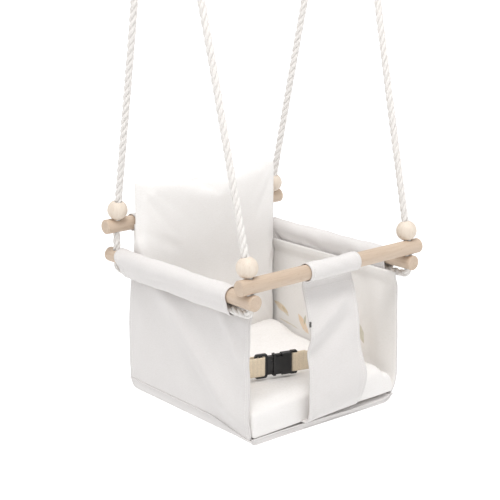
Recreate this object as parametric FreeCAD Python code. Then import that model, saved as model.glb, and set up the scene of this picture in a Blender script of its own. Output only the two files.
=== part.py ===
"""Toddler bucket swing: a canvas seat box hung by four wooden bars on two ropes.

All lengths are in millimetres.  While a piece is being shaped, z = 0 is the underside of the
seat, x points to the right of someone facing the front opening, and the front faces -y.
Every piece is then moved so that the origin is the middle of the four hanging rings.
"""
import FreeCAD
import Part
import math
import os

V = FreeCAD.Vector

# ---- driving dimensions --------------------------------------------------------------------
ROPE_SPACING = 368.0          # between rope holes, across and front to back
ROPE_DIAMETER = 13.0
ROPE_BORE = 14.4              # holes for the rope in dowels
BEAD_DIAMETER = 36.0
BEAD_BORE = 14.0
DOWEL_DIAMETER = 26.0
CROSS_DOWEL_LENGTH = 416.0    # front and rear dowels
SIDE_DOWEL_FRONT = -198.0     # the side dowels reach a little further behind than in front
SIDE_DOWEL_REAR = 206.0
SIDE_DOWEL_HEIGHT = 252.0     # axis above the seat's underside
FRONT_DOWEL_HEIGHT = 278.2    # it lies on the side dowels
REAR_DOWEL_HEIGHT = 309.0

PULL_POINT_HEIGHT = 1104.0    # where the legs of a rope would meet, above the rings
PULL_POINT_BACK = 11.0        # that point's distance behind the seat's middle
PULL_POINT_OUT = 202.0        # that point's distance from the seat's middle plane
RING_HEIGHT = 835.0           # centre of the hanging rings
RING_RADIUS = 16.0            # to the middle of the wire
RING_WIRE = 7.0               # wire diameter

SEAT_HALF_WIDTH = 172.0       # outer faces of the side panels
PANEL_THICKNESS = 3.0
PANEL_FRONT = -170.0
SEAT_REAR = 169.0             # outer face of the back panel
BASE_FRONT = -174.0
BAND_HEIGHT = 20.0            # boxing band round the sides and back of the base
FRONT_BAND_HEIGHT = 10.0
CANVAS = 2.0                  # a single hemmed layer

CUSHION_TOP = 62.0
BACK_CUSHION_TOP = 388.0
BACK_CUSHION_HALF_WIDTH = 165.0
BACK_CUSHION_SEAM = 152.0     # y of its sewn edge

FLAP_LEFT, FLAP_RIGHT = -60.0, 54.0
FLAP_THICKNESS = 2.4

WEBBING_WIDTH = 34.0
WEBBING_THICKNESS = 1.6
BUCKLE_CENTRE = V(-47.0, -93.0, 90.0)
BUCKLE_TURN = -17.5           # degrees about the vertical
STRAP_ANCHOR_BACK = -18.0     # where the sewn ends of the straps begin on the side panels

HALF = ROPE_SPACING / 2
ROPE_RADIUS = ROPE_DIAMETER / 2
DOWEL_RADIUS = DOWEL_DIAMETER / 2
BEAD_RADIUS = BEAD_DIAMETER / 2
ORIGIN = V(0, PULL_POINT_BACK, RING_HEIGHT)


# ---- shaping helpers -----------------------------------------------------------------------
def save(name, shape):
    """Write one piece, moved to the row's origin."""
    moved = shape.copy()
    moved.translate(ORIGIN * -1)
    moved.exportStep("parts/" + name + ".step")


def box(low, high):
    size = V(*high) - V(*low)
    return Part.makeBox(size.x, size.y, size.z, V(*low))


def rod(start, end, radius):
    run = end - start
    return Part.makeCylinder(radius, run.Length, start, run)


def fused(solids):
    shape = solids[0]
    if len(solids) > 1:
        shape = solids[0].multiFuse(solids[1:])
    return shape.removeSplitter()


def corner_arc(before, corner, after, radius):
    """Start, end, centre, axis and turn of the arc that rounds one corner of a path."""
    towards = (before - corner).normalize()
    away = (after - corner).normalize()
    half_angle = towards.getAngle(away) / 2
    reach = radius / math.tan(half_angle)
    middle = (towards + away).normalize()
    centre = corner + middle * (radius / math.sin(half_angle))
    axis = away.cross(towards).normalize()
    turn = 180 - 2 * math.degrees(half_angle)
    return corner + towards * reach, corner + away * reach, centre, axis, turn


def swept(points, radii, section):
    """A solid that follows a path of straight runs joined by tangent arcs.

    section(point, direction) gives the flat face that is carried along the path.
    radii has one value for each inner corner.
    """
    solids = []
    at = points[0]
    for i in range(1, len(points)):
        last = i == len(points) - 1
        end = points[i]
        if not last:
            end, next_at, centre, axis, turn = corner_arc(
                points[i - 1], points[i], points[i + 1], radii[i - 1]
            )
        run = end - at
        direction = (points[i] - points[i - 1]).normalize()
        if run.Length > 0.01:
            solids.append(section(at, direction).extrude(run))
        if not last:
            solids.append(section(end, direction).revolve(centre, axis, turn))
            at = next_at
    return fused(solids)


def round_section(radius):
    def face(point, direction):
        return Part.Face(Part.Wire(Part.makeCircle(radius, point, direction)))

    return face


def flat_section(thickness, low, high, across):
    """A strip's cross section: thin across the path, and from low to high along one axis."""

    def face(point, direction):
        side = direction.cross(across).normalize() * (thickness / 2)
        flat = point - across * point.dot(across)
        corners = [
            flat + across * low + side,
            flat + across * high + side,
            flat + across * high - side,
            flat + across * low - side,
        ]
        return Part.Face(Part.makePolygon(corners + corners[:1]))

    return face


def hull_face(first, first_radius, second, second_radius, normal):
    """The face inside a belt stretched round two circles that lie in one plane."""
    line = second - first
    along = line.normalize()
    apart = first.distanceToPoint(second)
    side = normal.cross(along)
    tilt = math.acos((first_radius - second_radius) / apart)
    out = [along * math.cos(tilt) + side * (math.sin(tilt) * s) for s in (1, -1)]
    a1, a2 = [first + o * first_radius for o in out]
    b1, b2 = [second + o * second_radius for o in out]
    edges = [
        Part.Arc(a1, first - along * first_radius, a2).toShape(),
        Part.LineSegment(a2, b2).toShape(),
        Part.Arc(b2, second + along * second_radius, b1).toShape(),
        Part.LineSegment(b1, a1).toShape(),
    ]
    return Part.Face(Part.Wire(edges))


def rounded_rectangle(half_width, low, high, y, radius):
    """A rounded rectangle standing in a plane of constant y."""
    w, r = half_width, radius
    diagonal = r * (1 - math.sqrt(0.5))
    p = [
        V(-w + r, y, low), V(w - r, y, low), V(w, y, low + r), V(w, y, high - r),
        V(w - r, y, high), V(-w + r, y, high), V(-w, y, high - r), V(-w, y, low + r),
    ]
    middles = [
        V(w - diagonal, y, low + diagonal), V(w - diagonal, y, high - diagonal),
        V(-w + diagonal, y, high - diagonal), V(-w + diagonal, y, low + diagonal),
    ]
    edges = []
    for i in range(4):
        edges.append(Part.LineSegment(p[2 * i], p[2 * i + 1]).toShape())
        edges.append(Part.Arc(p[2 * i + 1], middles[i], p[(2 * i + 2) % 8]).toShape())
    return Part.Wire(edges)


# ---- rope legs -----------------------------------------------------------------------------
TAIL_OFFSET = ROPE_DIAMETER + 0.5   # the eye's tail lies beside the standing rope
EYE_HALF_WIDTH = 18.2
EYE_LENGTH = 66.0
TAIL_LENGTH = 40.0
RING_CLEARANCE = 0.4          # between a ring's wire and the rope in it


class Leg:
    """One of the four upper lengths of rope, from its cross dowel up to its ring."""

    def __init__(self, side, front):
        height = FRONT_DOWEL_HEIGHT if front else REAR_DOWEL_HEIGHT
        self.foot = V(side * HALF, -HALF if front else HALF, height)
        pull = V(side * PULL_POINT_OUT, PULL_POINT_BACK, PULL_POINT_HEIGHT)
        self.up = (pull - self.foot).normalize()
        top = self.foot + self.up * ((RING_HEIGHT - height) / self.up.z)
        inward = V(-side, 0, 0)
        self.across = (inward - self.up * self.up.dot(inward)).normalize()
        self.ring = top + self.across * (TAIL_OFFSET / 2)
        bearing = ROPE_RADIUS + RING_WIRE / 2 + RING_CLEARANCE
        self.eye_top = top - self.up * (RING_RADIUS - bearing)

    def at(self, across, above_eye_top):
        """A point beside this leg: inward from its line, and above the top of its eye."""
        return self.eye_top + self.across * across + self.up * above_eye_top


LEGS = {
    side_name + "_" + end_name: Leg(side, front)
    for side_name, side in (("left", -1), ("right", 1))
    for end_name, front in (("front", True), ("rear", False))
}


def eye_points(leg):
    """The eye at a leg's top, from the end of the tail to the standing rope."""
    middle = TAIL_OFFSET / 2
    neck = -EYE_LENGTH
    return [
        leg.at(TAIL_OFFSET, neck - TAIL_LENGTH),
        leg.at(TAIL_OFFSET, neck),
        leg.at(middle + EYE_HALF_WIDTH, 0),
        leg.at(middle - EYE_HALF_WIDTH, 0),
        leg.at(0, neck),
    ]


EYE_CORNERS = [40.0, 14.0, 14.0, 40.0]
CROSS_DOWEL_BEND = 60.0
ROPE_BELOW_DOWEL = 10.5       # from a side dowel's underside to the rope's lowest run
UNDER_DOWEL = SIDE_DOWEL_HEIGHT - DOWEL_RADIUS - ROPE_BELOW_DOWEL
UNDER_BEND = 11.5
WHIPPING_LOW, WHIPPING_HIGH = 30.0, 8.0   # below the eye's neck
WHIPPING_GAP, WHIPPING_WALL = 0.2, 2.0    # round the rope


def rope(side_name):
    """One side's rope: ring, bead, cross dowel, side dowel, and back up at the other end."""
    front = LEGS[side_name + "_front"]
    rear = LEGS[side_name + "_rear"]
    low_front = V(front.foot.x, front.foot.y, UNDER_DOWEL)
    low_rear = V(rear.foot.x, rear.foot.y, UNDER_DOWEL)
    points = eye_points(front)
    points += [front.foot, low_front, low_rear, rear.foot]
    points += eye_points(rear)[::-1]
    radii = EYE_CORNERS + [CROSS_DOWEL_BEND, UNDER_BEND, UNDER_BEND, CROSS_DOWEL_BEND]
    radii += EYE_CORNERS[::-1]
    print("rope", side_name, "bend radii in mm:", radii)
    return swept(points, radii, round_section(ROPE_RADIUS))


def whipping(leg):
    """Twine bound round the tail and the standing rope."""
    low = -EYE_LENGTH - WHIPPING_LOW
    run = leg.up * (WHIPPING_LOW - WHIPPING_HIGH)
    standing, tail = leg.at(0, low), leg.at(TAIL_OFFSET, low)
    inner_radius = ROPE_RADIUS + WHIPPING_GAP
    outer_radius = ROPE_RADIUS + WHIPPING_WALL
    outer = hull_face(standing, outer_radius, tail, outer_radius, leg.up)
    inner = hull_face(standing, inner_radius, tail, inner_radius, leg.up)
    return outer.extrude(run).cut(inner.extrude(run))


def ring(leg):
    return Part.makeTorus(RING_RADIUS, RING_WIRE / 2, leg.ring, leg.across)


def bead(leg):
    """A round bead whose bored underside sits on its cross dowel."""
    sit = DOWEL_RADIUS + math.sqrt(BEAD_RADIUS**2 - (BEAD_BORE / 2) ** 2) + 0.3
    centre = leg.foot + leg.up * sit
    reach = leg.up * (BEAD_RADIUS + 5)
    ball = Part.makeSphere(BEAD_RADIUS, centre)
    return ball.cut(rod(centre - reach, centre + reach, BEAD_BORE / 2))


# ---- dowels --------------------------------------------------------------------------------
def rounded_dowel(start, end):
    bar = rod(start, end, DOWEL_RADIUS)
    rims = [e for e in bar.Edges if len(e.Vertexes) == 1 and e.Length > 10]
    return bar.makeChamfer(1.5, rims)


def cross_dowel(end_name):
    """The front or rear dowel, bored for both ropes, which bend inside it."""
    left = LEGS["left_" + end_name]
    right = LEGS["right_" + end_name]
    half = CROSS_DOWEL_LENGTH / 2
    y, z = left.foot.y, left.foot.z
    bar = rounded_dowel(V(-half, y, z), V(half, y, z))
    for leg in (left, right):
        bar = bar.cut(rod(leg.foot, leg.foot + leg.up * 30, ROPE_BORE / 2))
        bar = bar.cut(rod(leg.foot - V(0, 0, 30), leg.foot, ROPE_BORE / 2))
        bar = bar.cut(Part.makeSphere(ROPE_BORE / 2, leg.foot))
    return bar


def side_dowel(side):
    x = side * HALF
    front, rear = V(x, SIDE_DOWEL_FRONT, SIDE_DOWEL_HEIGHT), V(x, SIDE_DOWEL_REAR, SIDE_DOWEL_HEIGHT)
    bar = rounded_dowel(front, rear)
    for y in (-HALF, HALF):
        low = V(x, y, SIDE_DOWEL_HEIGHT - 20)
        bar = bar.cut(rod(low, low + V(0, 0, 40), ROPE_BORE / 2))
    return bar


# ---- canvas box ----------------------------------------------------------------------------
SLEEVE_FRONT, SLEEVE_REAR = -140.0, 150.0


def side_sleeve_solid(side, grow, front=SLEEVE_FRONT, rear=SLEEVE_REAR):
    """The space in a side sleeve: round its dowel above and the rope below it."""
    upper = V(side * HALF, front, SIDE_DOWEL_HEIGHT)
    lower = V(side * (HALF - 1.5), front, UNDER_DOWEL)
    face = hull_face(
        upper, DOWEL_RADIUS + 1.0 + grow, lower, ROPE_RADIUS + 2.0 + grow, V(0, 1, 0)
    )
    return face.extrude(V(0, rear - front, 0))


def side_sleeve(side):
    return side_sleeve_solid(side, CANVAS).cut(side_sleeve_solid(side, 0))


def side_panel(side):
    """A side wall, cut so that its top edge meets its sleeve."""
    inner = SEAT_HALF_WIDTH - PANEL_THICKNESS
    low_x, high_x = sorted((side * inner, side * SEAT_HALF_WIDTH))
    wall = box((low_x, PANEL_FRONT, BAND_HEIGHT), (high_x, SEAT_REAR - PANEL_THICKNESS, 236))
    return wall.cut(side_sleeve_solid(side, CANVAS, PANEL_FRONT - 1, SEAT_REAR))


BACK_SLEEVE_HALF = 150.0


def back_sleeve():
    radius = DOWEL_RADIUS + 0.4
    start = V(-BACK_SLEEVE_HALF, HALF, REAR_DOWEL_HEIGHT)
    end = V(BACK_SLEEVE_HALF, HALF, REAR_DOWEL_HEIGHT)
    return rod(start, end, radius + CANVAS).cut(rod(start, end, radius))


def back_panel():
    """The back wall, wide below and narrowed above to pass between the rear beads."""
    y = SEAT_REAR - PANEL_THICKNESS
    half = SEAT_HALF_WIDTH
    shape = [
        V(-half, y, BAND_HEIGHT), V(half, y, BAND_HEIGHT), V(half, y, 214),
        V(BACK_SLEEVE_HALF, y, 262), V(BACK_SLEEVE_HALF, y, REAR_DOWEL_HEIGHT),
        V(-BACK_SLEEVE_HALF, y, REAR_DOWEL_HEIGHT), V(-BACK_SLEEVE_HALF, y, 262),
        V(-half, y, 214),
    ]
    wall = Part.Face(Part.makePolygon(shape + shape[:1])).extrude(V(0, PANEL_THICKNESS, 0))
    start = V(-half, HALF, REAR_DOWEL_HEIGHT)
    end = V(half, HALF, REAR_DOWEL_HEIGHT)
    return wall.cut(rod(start, end, DOWEL_RADIUS + 0.4 + CANVAS))


BOARD_LOW, BOARD_HIGH = 2.2, 8.0
BOARD_HALF_WIDTH, BOARD_FRONT, BOARD_REAR = 150.0, -150.0, 140.0
BOARD_GAP = 0.05
REAR_EDGE_RADIUS, RIGHT_EDGE_RADIUS, LEFT_EDGE_RADIUS = 18.0, 15.0, 7.0


def base_block():
    """The outer form of the canvas bottom, rounded along its lower edges except in front."""
    block = box((-SEAT_HALF_WIDTH, BASE_FRONT, 0), (SEAT_HALF_WIDTH, SEAT_REAR, BAND_HEIGHT))
    rounded = (
        (V(0, SEAT_REAR, 0), REAR_EDGE_RADIUS),
        (V(SEAT_HALF_WIDTH, 0, 0), RIGHT_EDGE_RADIUS),
        (V(-SEAT_HALF_WIDTH, 0, 0), LEFT_EDGE_RADIUS),
    )
    for near, radius in rounded:
        point = Part.Vertex(near)
        edge = min(block.Edges, key=lambda e: e.distToShape(point)[0])
        block = block.makeFillet(radius, [edge])
    return block


def base_cover():
    """The canvas bottom with its boxing band, hollow for the board."""
    inner_x = SEAT_HALF_WIDTH - PANEL_THICKNESS
    tray = box(
        (-inner_x, BASE_FRONT - 10, FRONT_BAND_HEIGHT),
        (inner_x, SEAT_REAR - PANEL_THICKNESS, BAND_HEIGHT + 1),
    )
    front_cut = box(
        (-SEAT_HALF_WIDTH - 1, BASE_FRONT - 1, FRONT_BAND_HEIGHT),
        (SEAT_HALF_WIDTH + 1, PANEL_FRONT, BAND_HEIGHT + 1),
    )
    return base_block().cut(tray).cut(front_cut).cut(board_block(0))


def board_block(inset):
    return box(
        (-BOARD_HALF_WIDTH + inset, BOARD_FRONT + inset, BOARD_LOW + inset),
        (BOARD_HALF_WIDTH - inset, BOARD_REAR - inset, BOARD_HIGH - inset),
    )


def base_board():
    return board_block(BOARD_GAP)


# ---- cushions ------------------------------------------------------------------------------
CUSHION_HALF_WIDTH = 168.5
CUSHION_FRONT, CUSHION_REAR = -171.0, 165.5
CUSHION_BOTTOM = 12.8
COVER = 1.4


def cushion_block(inset, radius):
    block = box(
        (-CUSHION_HALF_WIDTH + inset, CUSHION_FRONT + inset, CUSHION_BOTTOM + inset),
        (CUSHION_HALF_WIDTH - inset, CUSHION_REAR - inset, CUSHION_TOP - inset),
    )
    return block.makeFillet(radius, block.Edges)


def seat_cushion_cover():
    return cushion_block(0, 12.0).cut(cushion_block(COVER, 12.0 - COVER))


def seat_cushion_foam():
    return cushion_block(COVER + 0.1, 12.0 - COVER - 0.1)


# distance from the sewn edge's plane, and how far the outline is drawn in there
BACK_CUSHION_STEPS = (
    (13.0, 52.0), (10.0, 22.0), (5.0, 7.0), (1.2, 0.0), (-1.2, 0.0), (-9.0, 7.0),
    (-21.0, 22.0), (-31.0, 48.0), (-36.0, 84.0),
)


def back_cushion_block(inset):
    wires = []
    deepest, shallowest = BACK_CUSHION_STEPS[0][0], BACK_CUSHION_STEPS[-1][0]
    for away, drawn_in in BACK_CUSHION_STEPS:
        kept = away * (1 - inset / (deepest if away > 0 else -shallowest))
        edge = drawn_in + inset
        wires.append(
            rounded_rectangle(
                BACK_CUSHION_HALF_WIDTH - edge,
                CUSHION_TOP + 0.6 + edge,
                BACK_CUSHION_TOP - edge,
                BACK_CUSHION_SEAM + kept,
                14.0 + drawn_in * 0.4,
            )
        )
    return Part.makeLoft(wires, True, True)


def back_cushion_cover():
    return back_cushion_block(0).cut(back_cushion_block(COVER))


def back_cushion_fill():
    return back_cushion_block(COVER + 0.3)


# ---- front bar's flap ----------------------------------------------------------------------
FLAP_SLEEVE_RADIUS = DOWEL_RADIUS + 0.3
FLAP_PATH = (
    (-190.0, 270.0), (-191.5, 205.0), (-202.0, 110.0), (-203.0, 50.0), (-193.0, 11.4),
    (-110.0, 11.4),
)
FLAP_BENDS = [300.0, 300.0, 60.0, 9.0]


def flap_sleeve():
    start = V(FLAP_LEFT, -HALF, FRONT_DOWEL_HEIGHT)
    end = V(FLAP_RIGHT, -HALF, FRONT_DOWEL_HEIGHT)
    outer = rod(start, end, FLAP_SLEEVE_RADIUS + CANVAS)
    return outer.cut(rod(start, end, FLAP_SLEEVE_RADIUS))


def crotch_flap():
    """The flap between the legs: from its sleeve, bulging forward, and in under the cushion."""
    points = [V(0, y, z) for y, z in FLAP_PATH]
    section = flat_section(FLAP_THICKNESS, FLAP_LEFT, FLAP_RIGHT, V(1, 0, 0))
    strip = swept(points, FLAP_BENDS, section)
    start = V(FLAP_LEFT - 1, -HALF, FRONT_DOWEL_HEIGHT)
    end = V(FLAP_RIGHT + 1, -HALF, FRONT_DOWEL_HEIGHT)
    return strip.cut(rod(start, end, FLAP_SLEEVE_RADIUS + CANVAS + 0.05))


TAG_REACH = 3.6


def edge_tag():
    """A plain folded tag sewn to the flap's left edge."""
    return box((FLAP_LEFT - TAG_REACH, -194.2, 186), (FLAP_LEFT - 0.1, -193.2, 195))


# ---- lap belt ------------------------------------------------------------------------------
BUCKLE_PLACE = FreeCAD.Placement(BUCKLE_CENTRE, FreeCAD.Rotation(V(0, 0, 1), BUCKLE_TURN))
WRAP = 3.6                    # strap's middle, from the middle of the bar it wraps
PLUG_WRAP_X = -27.0           # the bars' edges the straps turn round, along the buckle
SOCKET_WRAP_X = 33.5


def in_seat(solid):
    """Place a solid drawn in the buckle's own frame: x along the belt, z up, front at -y."""
    moved = solid.copy()
    moved.Placement = BUCKLE_PLACE.multiply(moved.Placement)
    return moved


def belt_point(x, y):
    return BUCKLE_PLACE.multVec(V(x, y, 0))


def webbing(points, radii):
    half = WEBBING_WIDTH / 2
    z = BUCKLE_CENTRE.z
    section = flat_section(WEBBING_THICKNESS, z - half, z + half, V(0, 0, 1))
    return swept(points, radii, section)


def wall_point(side, y):
    face = SEAT_HALF_WIDTH - PANEL_THICKNESS - WEBBING_THICKNESS / 2 - 0.05
    return V(side * face, y, BUCKLE_CENTRE.z)


def left_strap():
    """From the left panel to the plug's ladder bar, round it, and back as a loose tail."""
    turn = belt_point(PLUG_WRAP_X, -WRAP)
    ahead = belt_point(PLUG_WRAP_X + 1, -WRAP) - turn
    wall_x = wall_point(-1, 0).x
    bend = turn + ahead * ((wall_x - turn.x) / ahead.x)
    points = [
        wall_point(-1, STRAP_ANCHOR_BACK), bend,
        belt_point(PLUG_WRAP_X + WRAP, -WRAP), belt_point(PLUG_WRAP_X + WRAP, WRAP),
        belt_point(PLUG_WRAP_X - 45, WRAP),
    ]
    return webbing(points, [12.0, WRAP, WRAP])


def right_strap():
    """From the right panel to the socket's bar, round it, and sewn back on itself."""
    points = [
        wall_point(1, STRAP_ANCHOR_BACK), wall_point(1, -56.0),
        belt_point(SOCKET_WRAP_X + 38, -WRAP),
        belt_point(SOCKET_WRAP_X - WRAP, -WRAP), belt_point(SOCKET_WRAP_X - WRAP, WRAP),
        belt_point(SOCKET_WRAP_X + 24, WRAP),
    ]
    return webbing(points, [14.0, 40.0, WRAP, WRAP])


PRONG_ROOT = V(-9.5, 0, 11.5)
PRONG_ROOT_RADIUS = 2.6
PRONG_RECESS_RADIUS = 2.8
GRIP_HALF = 22.0              # half height of the plug's ladder frame


def prong_root(side, radius, half_depth):
    low = V(PRONG_ROOT.x, -half_depth, side * PRONG_ROOT.z)
    return rod(low, low + V(0, 2 * half_depth, 0), radius)


def buckle_plug():
    """Ladder frame, base and middle tongue of the plug."""
    frame = box((-40, -2.6, -GRIP_HALF), (-17, 2.6, GRIP_HALF))
    corners = [
        e for e in frame.Edges if abs(e.Vertexes[0].Point.y - e.Vertexes[1].Point.y) > 1
    ]
    frame = frame.makeFillet(4.0, corners)
    for low, high in ((-36.5, -31.5), (-27.0, -22.0)):
        frame = frame.cut(box((low, -4, -18.5), (high, 4, 18.5)))
    base = box((-17.5, -4.0, -16.5), (-7, 4.0, 16.5))
    tongue = box((-8, -2.0, -4.0), (20, 2.0, 4.0))
    body = fused([frame, base, tongue])
    for side in (1, -1):
        body = body.cut(prong_root(side, PRONG_RECESS_RADIUS, 5))
        z = side * PRONG_ROOT.z
        r = PRONG_RECESS_RADIUS
        body = body.cut(box((PRONG_ROOT.x, -5, z - r), (-6, 5, z + r)))
    return in_seat(body)


def buckle_prong(side):
    """One springy arm with the barb that catches in the socket's side window."""
    z = side * PRONG_ROOT.z
    arm = box((PRONG_ROOT.x, -3.0, z - 1.6), (8.5, 3.0, z + 1.6))
    low, high = sorted((side * 12.5, side * 18.3))
    barb = box((-1.6, -3.0, low), (8.5, 3.0, high))
    return in_seat(fused([arm, barb, prong_root(side, PRONG_ROOT_RADIUS, 3.0)]))


def buckle_socket():
    """Hollow body with two side windows, and the bar that holds the right strap."""
    body = box((-6.5, -6.0, -20.0), (28.5, 6.0, 20.0))
    body = body.makeFillet(2.5, [e for e in body.Edges if e.Length > 30])
    bar = box((27.5, -2.6, -21.5), (40, 2.6, 21.5))
    ends = [e for e in bar.Edges if e.Length < 6 and e.Vertexes[0].Point.x > 39]
    bar = bar.makeFillet(3.0, ends)
    bar = bar.cut(box((28.5, -4, -18.5), (33.5, 4, 18.5)))
    body = fused([body, bar])
    body = body.cut(box((-7, -4.4, -17.0), (24, 4.4, 17.0)))
    for side in (1, -1):
        low, high = sorted((side * 14.5, side * 25.0))
        body = body.cut(box((-2.0, -7, low), (9.6, 7, high)))
    return in_seat(body)


# ---- write every piece ---------------------------------------------------------------------
os.makedirs("parts", exist_ok=True)

for leg_name, one_leg in LEGS.items():
    save("ring_" + leg_name, ring(one_leg))
    save("whipping_" + leg_name, whipping(one_leg))
    save("bead_" + leg_name, bead(one_leg))

for side_name, side in (("left", -1), ("right", 1)):
    save("rope_" + side_name, rope(side_name))
    save("dowel_" + side_name, side_dowel(side))
    save("sleeve_" + side_name, side_sleeve(side))
    save("panel_" + side_name, side_panel(side))

save("dowel_front", cross_dowel("front"))
save("dowel_rear", cross_dowel("rear"))
save("sleeve_rear", back_sleeve())
save("panel_rear", back_panel())
save("base_cover", base_cover())
save("base_board", base_board())
save("seat_cushion_cover", seat_cushion_cover())
save("seat_cushion_foam", seat_cushion_foam())
save("back_cushion_cover", back_cushion_cover())
save("back_cushion_fill", back_cushion_fill())
save("flap_sleeve", flap_sleeve())
save("crotch_flap", crotch_flap())
save("edge_tag", edge_tag())
save("strap_left", left_strap())
save("strap_right", right_strap())
save("buckle_plug", buckle_plug())
save("buckle_socket", buckle_socket())
save("prong_upper", buckle_prong(1))
save("prong_lower", buckle_prong(-1))
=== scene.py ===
"""Looks of the toddler bucket swing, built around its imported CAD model.

Sizes are in millimetres in the seat's own directions until metres() turns them into the frame's:
x to the right, y to the back, z up from the middle of the seat's underside.
"""
import bmesh
import bpy
import math
import numpy as np
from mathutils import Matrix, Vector


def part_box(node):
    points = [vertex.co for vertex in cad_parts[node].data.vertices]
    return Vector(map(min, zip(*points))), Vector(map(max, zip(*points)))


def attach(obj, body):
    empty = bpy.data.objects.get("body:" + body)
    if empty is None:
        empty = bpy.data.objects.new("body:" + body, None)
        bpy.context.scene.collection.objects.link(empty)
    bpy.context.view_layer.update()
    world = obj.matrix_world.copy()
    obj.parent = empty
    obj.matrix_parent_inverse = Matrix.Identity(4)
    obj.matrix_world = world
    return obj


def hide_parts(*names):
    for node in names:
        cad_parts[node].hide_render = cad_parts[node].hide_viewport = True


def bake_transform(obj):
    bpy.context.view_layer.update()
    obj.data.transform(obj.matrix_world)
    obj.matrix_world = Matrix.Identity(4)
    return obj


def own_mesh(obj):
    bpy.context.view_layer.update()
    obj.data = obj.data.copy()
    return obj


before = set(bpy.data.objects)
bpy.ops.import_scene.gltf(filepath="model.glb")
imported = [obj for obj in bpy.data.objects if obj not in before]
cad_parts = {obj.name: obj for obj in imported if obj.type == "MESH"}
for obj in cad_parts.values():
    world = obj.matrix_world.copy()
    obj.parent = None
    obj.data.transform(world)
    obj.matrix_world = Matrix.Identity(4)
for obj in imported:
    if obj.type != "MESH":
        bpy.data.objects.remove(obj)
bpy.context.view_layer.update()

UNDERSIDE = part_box("base_cover")[0].z
MIDDLE_Y = (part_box("dowel_front")[0].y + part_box("dowel_rear")[1].y) / 2
MM = 0.001

SIDES = {"left": -1, "right": 1}
ENDS = ("front", "rear")

HALF = 184.0                           # from the middle to every rope hole
FRONT_DOWEL_HEIGHT, REAR_DOWEL_HEIGHT = 278.2, 309.0
PULL_POINT = (202.0, 11.0, 1104.0)     # where the right rope's two legs would meet
ROPE_DIAMETER = 13.0
ROPE_RUN_HEIGHT = 228.5                # the rope's middle line under the side dowels
DOWEL_RADIUS = 13.0
WALL = 3.0                             # thickness of the doubled canvas
THREAD_PROUD = 0.15                    # how far sewing stands off the cloth


# ---- places ----------------------------------------------------------------------------------
def metres(points):
    """Points in seat millimetres, in the frame's metres."""
    return np.asarray(points, float) * MM + np.array([0, MIDDLE_Y, UNDERSIDE])


def seat_mm(point):
    """A point of the frame, in seat millimetres."""
    return (np.array(point) - np.array([0, MIDDLE_Y, UNDERSIDE])) / MM


def box_mm(node):
    low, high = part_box(node)
    return seat_mm(low), seat_mm(high)


def smooth_step(x, low, high):
    t = np.clip((x - low) / (high - low), 0, 1)
    return t * t * (3 - 2 * t)


def bump_at(x, middle, width):
    """A soft hump of height 1."""
    return np.exp(-(((x - middle) / width) ** 2))


def ridge(a, b, start, end, width):
    """A soft fold of height 1 along the line from start to end in the plane of a and b."""
    run = np.array(end, float) - np.array(start, float)
    long = np.hypot(*run)
    along = ((a - start[0]) * run[0] + (b - start[1]) * run[1]) / long**2
    across = ((a - start[0]) * run[1] - (b - start[1]) * run[0]) / long
    ends = smooth_step(along, -0.15, 0.15) * (1 - smooth_step(along, 0.85, 1.15))
    return np.exp(-((across / width) ** 2)) * ends


def folds(a, b, rows):
    """The sum of several soft folds, each (height, start, end, width)."""
    return sum(height * ridge(a, b, start, end, width) for height, start, end, width in rows)


def shares(rows, columns, low=0, high=1):
    """A grid of shares: v from 0 to 1 down the rows and u from low to high along them."""
    return np.meshgrid(np.linspace(0, 1, rows), np.linspace(low, high, columns), indexing="ij")


def joined(x, y, z):
    """Points from their three coordinates."""
    return np.stack(np.broadcast_arrays(x, y, z), axis=-1)


def distance_along(line):
    """How far each point of a line is from its start."""
    return np.concatenate([[0], np.cumsum(np.linalg.norm(np.diff(line, axis=0), axis=1))])


def closed(loop):
    return np.concatenate([loop, loop[:1]])


def unit(v):
    v = np.asarray(v, float)
    return v / np.maximum(np.linalg.norm(v, axis=-1, keepdims=True), 1e-12)


# ---- meshes ----------------------------------------------------------------------------------
def new_object(name, points, faces, material, smooth=True):
    mesh = bpy.data.meshes.new(name)
    mesh.from_pydata([tuple(p) for p in metres(points)], [], [tuple(f) for f in faces])
    shell = bmesh.new()
    shell.from_mesh(mesh)
    bmesh.ops.recalc_face_normals(shell, faces=shell.faces)
    shell.to_mesh(mesh)
    shell.free()
    mesh.polygons.foreach_set("use_smooth", [smooth] * len(mesh.polygons))
    piece = bpy.data.objects.new(name, mesh)
    bpy.context.scene.collection.objects.link(piece)
    mesh.materials.append(material)
    return piece


def grid_faces(rows, columns, start=0, wrap=False):
    """Quads between neighbours of a grid of points; wrap joins the last column to the first."""
    faces = []
    for i in range(rows - 1):
        for j in range(columns if wrap else columns - 1):
            k = (j + 1) % columns
            a, b = start + i * columns, start + (i + 1) * columns
            faces.append((a + j, a + k, b + k, b + j))
    return faces


def grid_normals(points, wrap=False):
    if wrap:
        padded = np.concatenate([points[:, -1:], points, points[:, :1]], axis=1)
        across = (padded[:, 2:] - padded[:, :-2]) / 2
    else:
        across = np.gradient(points, axis=1)
    return unit(np.cross(across, np.gradient(points, axis=0)))


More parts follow.
